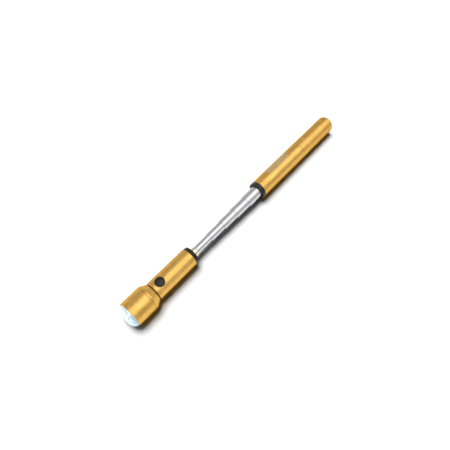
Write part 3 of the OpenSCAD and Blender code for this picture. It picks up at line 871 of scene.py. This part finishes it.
def leds():
    """Three LEDs on their ring, each with a glowing die inside."""
    back, tip = span("led_1")[:2]
    base_back = span("reflector")[0]
    low, high = levels("led_1")
    flange, body = (high - low) / 2, LED
    dome = [(tip - body + x, r) for x, r in arc(0, 0, body, 90, 0, 12)]
    dome[-1] = (tip, 0)
    outline = [(back, 0), (back, flange), (base_back, flange), (base_back, body), *dome]
    bulbs = grown("led_bulbs", RING_OF_COPIES, turned("bulb", outline, EPOXY, faces=48),
                  Material=EPOXY, **led_ring())
    fitted(bulbs, "head", "led_epoxy", "led_1", "led_2", "led_3")
    die_back, die_front, seat, crown = back + 2.2, back + 2.8, 0.9, 1.1
    die = [(die_back, 0), (die_back, seat), (die_front, crown), (die_front, 0)]
    dies = grown("led_dies", RING_OF_COPIES, turned("die", die, GLOW, faces=24),
                 Material=GLOW, **led_ring())
    fitted(dies, "head", "led_epoxy")


def printed_panel():
    """Plain panel of fine printed lines on the front half of the handle."""
    radius = span("handle_tube")[2]
    panel = grown("printed_panel", PRINTED_LINES, Count=28, First=59.5 * MM, Pitch=1.0 * MM,
                  Radius=(radius + 0.005) * MM, Middle=math.radians(114), Spread=math.radians(54),
                  Width=0.5 * MM, Ink=0.03 * MM, Material=INK)
    fitted(panel, "handle", "pale_gold")


# ------------------------------------------------------------------ lamp

def lamp_cup():
    """Bright cup round the LEDs, with a hole for each of them and one for the magnet."""
    back, front, radius = span("reflector")
    floor, base_r, mouth, hub = back + 1.2, 8.0, CUP_MOUTH, 2.75
    outline = [(back, hub), (back, radius), (front, radius), (front, mouth), (floor, base_r), (floor, hub)]
    cup = turned("lamp_cup", outline, REFLECTOR, ease=0.1)
    hole = LED + FIT
    punch = [(back - 1, 0), (back - 1, hole), (floor + 1, hole), (floor + 1, 0)]
    punches = grown("punches", RING_OF_COPIES, turned("punch", punch, REFLECTOR, ease=0.02, faces=48),
                    Material=REFLECTOR, **led_ring())
    cut_away(cup, punches)
    fitted(cup, "head", "bright_reflector", "reflector")


def pickup_magnet():
    """Magnet in its steel cup, on the axis of the lamp."""
    back, front, radius = span("pickup_magnet")
    cup_front, cup_r = span("magnet_cup")[1:]
    core = [(back, 0), (back, radius - PRESS), (front, radius - PRESS), (front, 0)]
    sleeve = [(back, radius), (back, cup_r), (cup_front, cup_r), (cup_front, radius)]
    fitted(turned("magnet_core", core, NICKEL, ease=0.3), "head", "magnet_nickel", "pickup_magnet")
    fitted(turned("magnet_sleeve", sleeve, CHROME, ease=0.08), "head", "mast_chrome", "magnet_cup")


def lens_seal():
    """Seal between the lamp cup and the lens."""
    back, front, radius = span("lens_gasket")
    outline = [(back, CUP_MOUTH), (back, radius), (front, radius), (front, CUP_MOUTH)]
    fitted(turned("lens_seal", outline, RUBBER, ease=0.2), "head", "black_rubber", "lens_gasket")


INNER_FINISHES = {
    "handle_joint_seal": RUBBER, "swivel_stud": STEEL, "swivel_clip": STEEL,
    "negative_plate": BRASS, "battery_1": CELL, "battery_2": CELL, "battery_3": CELL,
    "battery_sleeve": MOULDING, "positive_plate": BRASS, "switch_housing": MOULDING,
    "push_switch": PLASTIC, "switch_contact": BRASS, "button_plunger": MOULDING,
    "led_board": BOARD, "board_carrier": MOULDING, "contact_pin": BRASS,
    **{f"friction_sleeve_{n}": BRASS for n in range(1, 6)},
}


def paint_inner_parts():
    """Gives the parts that keep their CAD shape their finishes."""
    for node, finish in INNER_FINISHES.items():
        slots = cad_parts[node].data.materials
        slots.clear()
        slots.append(finish)


# ------------------------------------------------------------------ studio

KEY_TILT = math.radians(18)
KEY_SOFTNESS = math.radians(33)
KEY_STRENGTH = 7.4
PANEL_AIM = Vector((-0.125, 0, 0))
PANEL_LEAN = math.radians(12)
PANEL_HEIGHT = 0.7
PANEL_SIDES = (1.7, 0.75)
PANEL_RADIANCE = 1.05
SURROUND = (0.50, 0.50, 0.51, 1)
AIM = Vector((145.3, 1.5, -0.5)) * MM
TOWARDS_CAMERA = Vector((0.397, 0.268, 0.878))
CAMERA_UP = Vector((-0.643, -0.601, 0.475))
CAMERA_DISTANCE = 0.315
FOCAL_LENGTH = 32
SENSOR = 36


def studio_floor():
    """Plain floor that the head and the tail both rest on, white near the tool and greyer far away as a
    painted pool of light.
    """
    head_x, head_r = span("head_shell")[1:]
    tail_r = span("tail_sleeve")[2]
    tail_x = 2.0
    slope = (tail_r - head_r) / (head_x - tail_x)
    centre, reach, sides, clearance = 125, 9000, 64, 0.05
    bm = bmesh.new()
    rim = []
    for k in range(sides):
        x = centre + reach * math.cos(math.tau * k / sides)
        y = reach * math.sin(math.tau * k / sides)
        rim.append(bm.verts.new((x, y, -tail_r + slope * (x - tail_x) - clearance)))
    bm.faces.new(rim)
    material, tree, shader = blank("studio_white", Metallic=0.0, Roughness=0.9, Specular_IOR_Level=0.0)
    tone = noise(tree, place(tree), 3.0, 2.0)
    # Painted pool of light: the floor's colour goes from white near the tool to grey far away, a painted
    # falloff of light that lets the floor meet the grey surround.
    near = mixed(tree, tone, (0.47, 0.47, 0.47, 1), (0.49, 0.49, 0.49, 1))
    away = put(tree, "ShaderNodeVectorMath", {0: place(tree)}, operation="LENGTH").outputs["Value"]
    feed(tree, shader, Base_Color=mixed(tree, ramp(tree, away, 0.6, 3.0), near, (0.225, 0.225, 0.23, 1)))
    finish_mesh("studio_floor", bm, material)


def softbox(name, spot, aim, sides, radiance):
    """A rectangular softbox at spot, turned to aim, with its longer side along X."""
    lamp = bpy.data.lights.new(name, "AREA")
    lamp.shape, lamp.size, lamp.size_y = "RECTANGLE", *sides
    lamp.energy = radiance * math.pi * sides[0] * sides[1]
    box = bpy.data.objects.new(name, lamp)
    box.location = spot
    back = (Vector(spot) - Vector(aim)).normalized()
    across = Vector((0, 1, 0)).cross(back).normalized()
    box.rotation_euler = Matrix((across, back.cross(across), back)).transposed().to_euler()
    box.visible_camera = False
    bpy.context.scene.collection.objects.link(box)
    return box


def studio_light():
    """A soft even key that casts the shadow, a long panel for the metal to mirror, and a surround."""
    sun = bpy.data.lights.new("key", "SUN")
    sun.energy, sun.angle = KEY_STRENGTH, KEY_SOFTNESS
    key = bpy.data.objects.new("key", sun)
    key.rotation_euler = (KEY_TILT, 0, 0)
    key.visible_glossy = False
    bpy.context.scene.collection.objects.link(key)
    lean = Vector((0, math.sin(PANEL_LEAN), math.cos(PANEL_LEAN)))
    panel = softbox("panel", PANEL_AIM + lean * PANEL_HEIGHT, PANEL_AIM, PANEL_SIDES, PANEL_RADIANCE)
    panel.visible_diffuse = False
    world = bpy.data.worlds.new("surround")
    world.use_nodes = True
    world.node_tree.nodes["Background"].inputs["Color"].default_value = SURROUND
    bpy.context.scene.world = world
    world.cycles_visibility.diffuse = False
    bpy.context.scene.view_settings.view_transform = "Standard"


def camera():
    """Camera above the lens end, with the tool across the frame from corner to corner."""
    view = bpy.data.cameras.new("camera")
    view.sensor_width, view.lens, view.clip_start = SENSOR, FOCAL_LENGTH, 0.01
    rig = bpy.data.objects.new("camera", view)
    back = TOWARDS_CAMERA.normalized()
    right = CAMERA_UP.cross(back).normalized()
    up = back.cross(right)
    turn = Matrix((right, up, back)).transposed()
    rig.matrix_world = Matrix.Translation(AIM + back * CAMERA_DISTANCE) @ turn.to_4x4()
    bpy.context.scene.collection.objects.link(rig)
    bpy.context.scene.camera = rig


for make in (tail_half, front_half, mouth_ring, tail_magnet, printed_panel):
    make()
for section in range(1, 6):
    mast_section(section)
for make in (collar, end_plug, bumper_ring, light_barrel, button_bezel, button, neck_seal,
             spigot_thread, cell_spring):
    make()
for make in (bell, lens, lens_seal, lamp_cup, leds, pickup_magnet):
    make()
for make in (paint_inner_parts, studio_floor, studio_light, camera):
    make()
